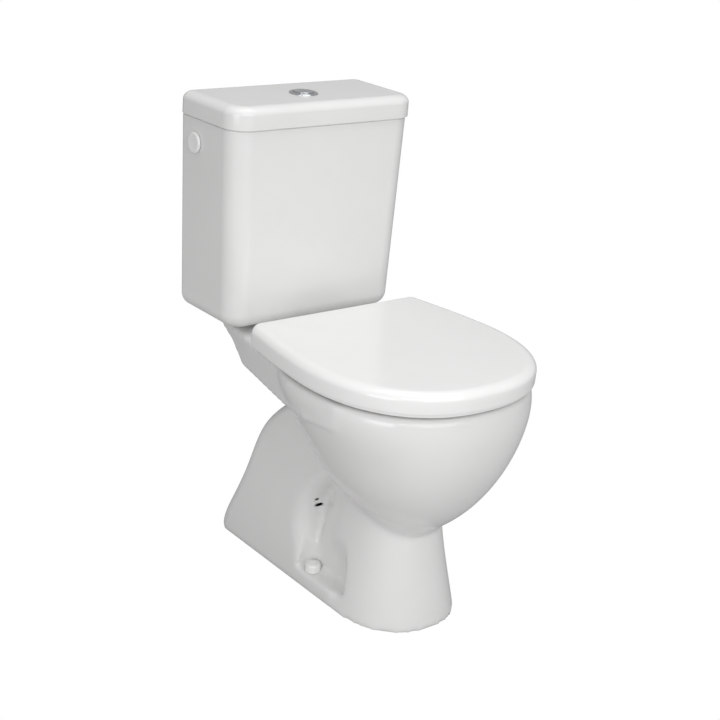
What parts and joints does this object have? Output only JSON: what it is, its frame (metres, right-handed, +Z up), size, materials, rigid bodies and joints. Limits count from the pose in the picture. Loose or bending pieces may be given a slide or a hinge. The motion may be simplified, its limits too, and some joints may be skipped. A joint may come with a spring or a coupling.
{
  "type": "close coupled toilet",
  "caption": "Floor-standing washdown toilet: pan with hidden trap, cistern sitting on the pan's shelf with a dual-flush button, hinged seat ring and cover.",
  "frame": {"origin": "on the floor, on the centre line, directly under the axis of the vertical outlet", "axes": "+Z up, -Y towards the front of the pan, +Y towards the wall, +X to the right of someone facing the toilet"},
  "size_m": [0.3996, 0.6071, 0.784],
  "materials": {
    "glazed_china": "gloss",
    "seat_plastic": "gloss",
    "chrome": "polished",
    "black_rubber": "matte",
    "clear_rubber": "satin",
    "white_nylon": "satin",
    "blue_grey_plastic": "satin",
    "steel": "satin",
    "white_gloss_cap": "gloss"
  },
  "bodies": {
    "pan_and_cistern": {"pan": "glazed_china", "cistern": "glazed_china", "coupling_gasket": "black_rubber", "valve_back_nut": "white_nylon", "coupling_bolts": "steel", "coupling_bolt_seals": "black_rubber", "coupling_pads": "black_rubber", "coupling_washers": "steel", "coupling_wing_nuts": "white_nylon", "flush_valve_base": "white_nylon", "flush_valve_washer": "black_rubber", "flush_valve_cage": "white_nylon", "fill_valve_body": "white_nylon", "fill_valve_cap": "blue_grey_plastic", "fill_valve_washer": "black_rubber", "inlet_nut": "white_nylon", "float_lever_pin": "steel", "inlet_plug": "white_gloss_cap", "inlet_plug_nut": "white_nylon", "hinge_posts": "white_nylon", "hinge_pins": "steel", "hinge_gaskets": "clear_rubber", "hinge_bolts": "steel", "hinge_cone_washers": "clear_rubber", "hinge_wing_nuts": "white_nylon", "fixing_bushes": "white_nylon", "fixing_caps": "white_gloss_cap"},
    "lid": {"cistern_lid": "glazed_china", "button_bezel": "chrome", "bezel_nut": "white_nylon", "full_flush_spring": "steel", "half_flush_spring": "steel"},
    "full_button": {"full_flush_button": "chrome"},
    "half_button": {"half_flush_button": "chrome"},
    "lift_tube": {"lift_tube": "blue_grey_plastic", "lift_tube_seal": "clear_rubber"},
    "float": {"float_cup": "blue_grey_plastic"},
    "float_lever": {"float_lever": "white_nylon"},
    "seat_ring": {"seat_ring": "seat_plastic", "ring_buffers": "clear_rubber"},
    "seat_cover": {"seat_cover": "seat_plastic", "cover_buffers": "clear_rubber"}
  },
  "joints": [
    {"name": "lid_lift_off", "type": "slide", "parent": "pan_and_cistern", "child": "lid", "axis": [0, 0, 1], "range_m": [0, 0.12]},
    {"name": "full_button_press", "type": "slide", "parent": "lid", "child": "full_button", "axis": [0, 0, -1], "range_m": [0, 0.006], "stiffness_N_per_m": 150, "springref_m": -0.004, "deforming": ["full_flush_spring"]},
    {"name": "half_button_press", "type": "slide", "parent": "lid", "child": "half_button", "axis": [0, 0, -1], "range_m": [0, 0.006], "stiffness_N_per_m": 150, "springref_m": -0.004, "deforming": ["half_flush_spring"]},
    {"name": "lift_tube_rise", "type": "slide", "parent": "pan_and_cistern", "child": "lift_tube", "axis": [0, 0, 1], "range_m": [0, 0.018]},
    {"name": "float_rise", "type": "slide", "parent": "pan_and_cistern", "child": "float", "axis": [0, 0, 1], "range_m": [0, 0.024]},
    {"name": "float_lever_turn", "type": "hinge", "parent": "pan_and_cistern", "child": "float_lever", "pos_m": [0.11, 0.154, 0.704], "axis": [0, 1, 0], "range_deg": [0, 34]},
    {"name": "seat_ring_hinge", "type": "hinge", "parent": "pan_and_cistern", "child": "seat_ring", "pos_m": [0, -0.01, 0.428], "axis": [1, 0, 0], "range_deg": [-94, 0]},
    {"name": "seat_cover_hinge", "type": "hinge", "parent": "seat_ring", "child": "seat_cover", "pos_m": [0, -0.01, 0.428], "axis": [-1, 0, 0], "range_deg": [0, 94]}
  ],
  "couplings": [
    {"joint": "lift_tube_rise", "follows": "full_button_press", "ratio": 3},
    {"joint": "float_lever_turn", "follows": "float_rise", "rad_per_m": 24.7}
  ]
}
